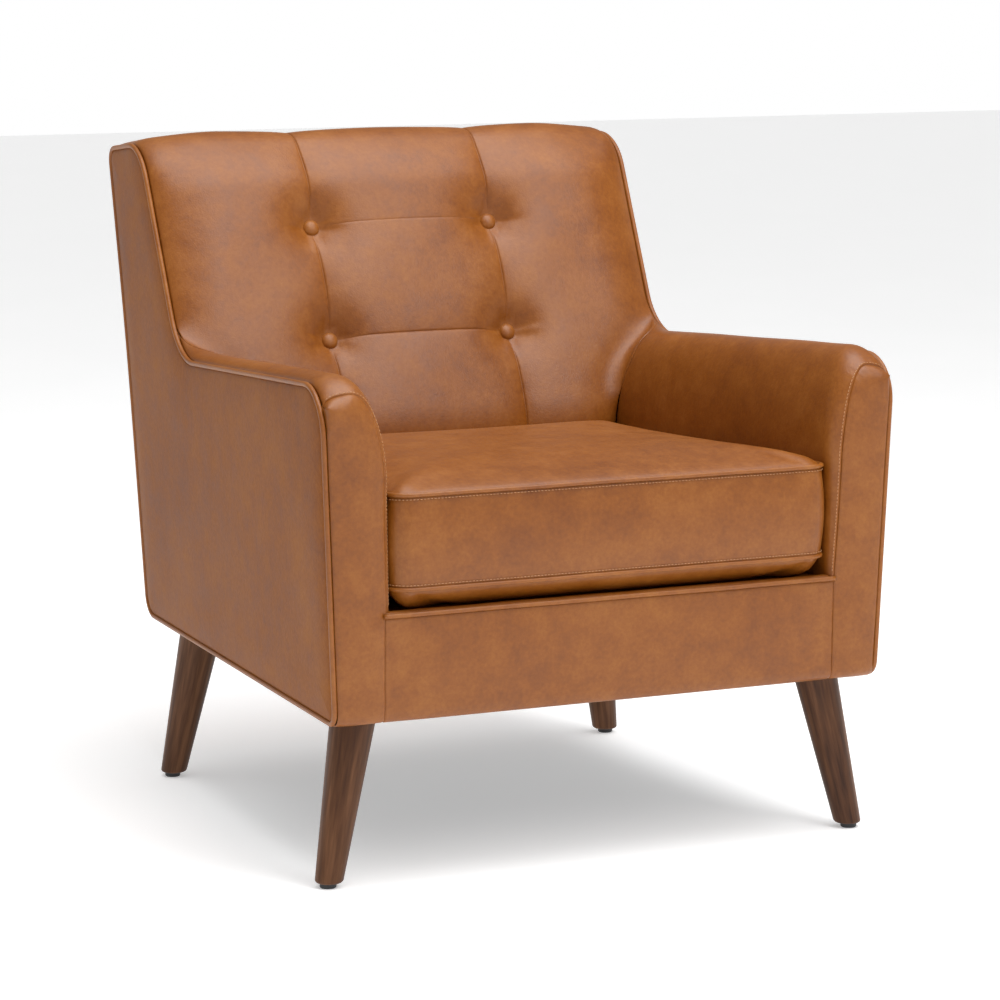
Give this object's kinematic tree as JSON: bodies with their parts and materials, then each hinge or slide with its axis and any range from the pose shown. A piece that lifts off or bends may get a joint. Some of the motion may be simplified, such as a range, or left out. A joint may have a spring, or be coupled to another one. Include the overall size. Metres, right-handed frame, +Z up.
{
  "type": "upholstered armchair",
  "caption": "Low lounge armchair in tan leather with piped sides, tufted reclined back, loose welted box cushion and splayed tapered wooden legs on levelling glides.",
  "frame": {"origin": "on the floor, under the middle of the chair's bounding box", "axes": "+Z up, -Y is the front of the chair, +X is the sitter's left arm when seated"},
  "size_m": [0.75, 0.8425, 0.8444],
  "materials": {
    "leather": "satin pull-up grain, cognac tan",
    "frame_wood": "raw sawn hardwood",
    "leg_wood": "satin walnut stain",
    "spring_steel": "oiled wire and zinc",
    "webbing": "woven elastic",
    "foam": "matte foam",
    "twine": "waxed twine",
    "cambric": "matte non-woven",
    "brass": "machined",
    "glide_plastic": "moulded",
    "zip_tape": "woven tape with teeth",
    "zip_metal": "antique"
  },
  "bodies": {
    "chair_frame": {"seat_rail_front": "frame_wood", "seat_rail_back": "frame_wood", "seat_rail_left": "frame_wood", "seat_rail_right": "frame_wood", "leg_blocks": "frame_wood", "arm_post_left": "frame_wood", "arm_post_right": "frame_wood", "arm_rail_left": "frame_wood", "arm_rail_right": "frame_wood", "back_stile_left": "frame_wood", "back_stile_right": "frame_wood", "back_post_left": "frame_wood", "back_post_right": "frame_wood", "back_top_rail": "frame_wood", "back_lower_rail": "frame_wood", "seat_springs": "spring_steel", "spring_clips": "spring_steel", "hanger_bolts": "spring_steel", "t_nuts": "spring_steel", "back_webbing": "webbing", "deck_pad": "foam", "front_rail_foam": "foam", "arm_foam_left": "foam", "arm_foam_right": "foam", "back_foam": "foam", "deck_cover": "leather", "front_rail_cover": "leather", "inside_arm_left": "leather", "inside_arm_right": "leather", "arm_front_left": "leather", "arm_front_right": "leather", "outside_arm_left": "leather", "outside_arm_right": "leather", "inside_back": "leather", "outside_back": "leather", "back_buttons": "leather", "front_rail_welt": "leather", "side_welt_left": "leather", "side_welt_right": "leather", "button_ties": "twine", "dust_cover": "cambric", "leg_front_left": "leg_wood", "leg_front_right": "leg_wood", "leg_rear_left": "leg_wood", "leg_rear_right": "leg_wood", "glide_inserts": "brass"},
    "glide_front_left": {"glide_front_left": "glide_plastic"},
    "glide_front_right": {"glide_front_right": "glide_plastic"},
    "glide_rear_left": {"glide_rear_left": "glide_plastic"},
    "glide_rear_right": {"glide_rear_right": "glide_plastic"},
    "seat_cushion": {"cushion_cover": "leather", "cushion_foam": "foam", "cushion_welts": "leather", "zipper_tape": "zip_tape"},
    "zip_slider": {"zipper_slider": "zip_metal"},
    "zip_pull": {"zipper_pull": "zip_metal"}
  },
  "joints": [
    {"name": "glide_front_left_screw", "type": "slide", "parent": "chair_frame", "child": "glide_front_left", "axis": [0, 0, -1], "range_m": [0, 0.008]},
    {"name": "glide_front_right_screw", "type": "slide", "parent": "chair_frame", "child": "glide_front_right", "axis": [0, 0, -1], "range_m": [0, 0.008]},
    {"name": "glide_rear_left_screw", "type": "slide", "parent": "chair_frame", "child": "glide_rear_left", "axis": [0, 0, -1], "range_m": [0, 0.008]},
    {"name": "glide_rear_right_screw", "type": "slide", "parent": "chair_frame", "child": "glide_rear_right", "axis": [0, 0, -1], "range_m": [0, 0.008]},
    {"name": "cushion_lift", "type": "slide", "parent": "chair_frame", "child": "seat_cushion", "axis": [0, 0, 1], "range_m": [0, 0.3]},
    {"name": "zipper_run", "type": "slide", "parent": "seat_cushion", "child": "zip_slider", "axis": [-1, 0, 0], "range_m": [0, 0.4]},
    {"name": "pull_flip", "type": "hinge", "parent": "zip_slider", "child": "zip_pull", "pos_m": [0.2, 0.0964, 0.378], "axis": [0, 0, -1], "range_deg": [0, 170]}
  ]
}
